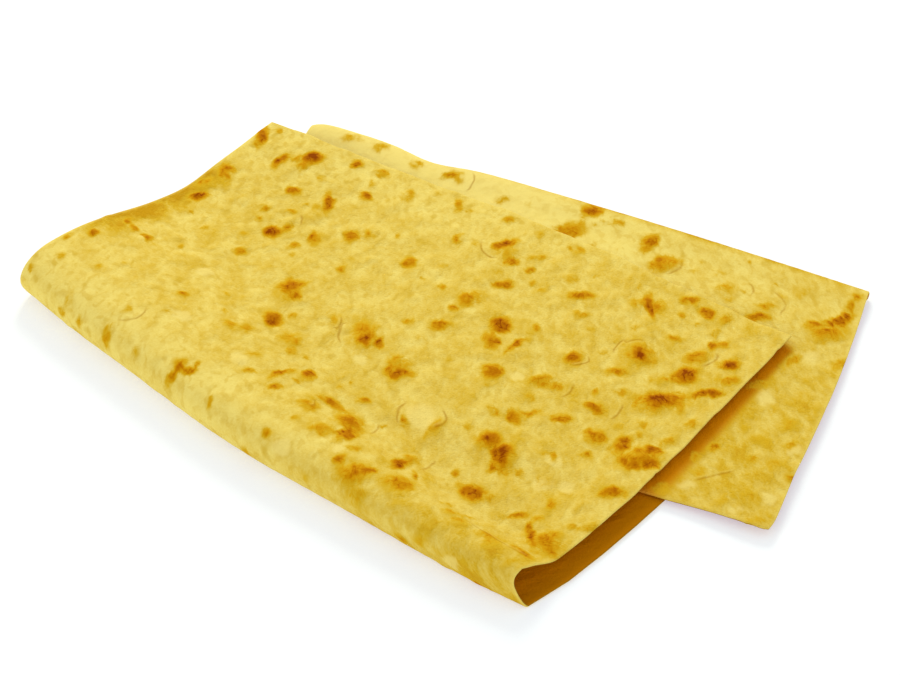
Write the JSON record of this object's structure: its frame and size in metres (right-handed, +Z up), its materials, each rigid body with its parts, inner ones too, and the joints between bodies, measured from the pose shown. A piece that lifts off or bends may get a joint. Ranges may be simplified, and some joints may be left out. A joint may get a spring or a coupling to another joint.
{
  "type": "folded lavash flatbread",
  "caption": "Thin soft flatbread with toasted blisters, folded in three like a letter, with a loose roll along its front and a flap at one side. Food to lie on a table, board or plate.",
  "frame": {"origin": "middle of the folded bread's footprint, on the surface it lies on", "axes": "+X along the front fold, to the side where the flap sticks out; +Y from the front fold to the far fold; +Z up"},
  "size_m": [0.404, 0.3098, 0.0247],
  "materials": {
    "bread": "soft matt baked crust, pale yellow with toasted brown blisters"
  },
  "bodies": {
    "root": {"lavash": "bread"}
  },
  "joints": []
}
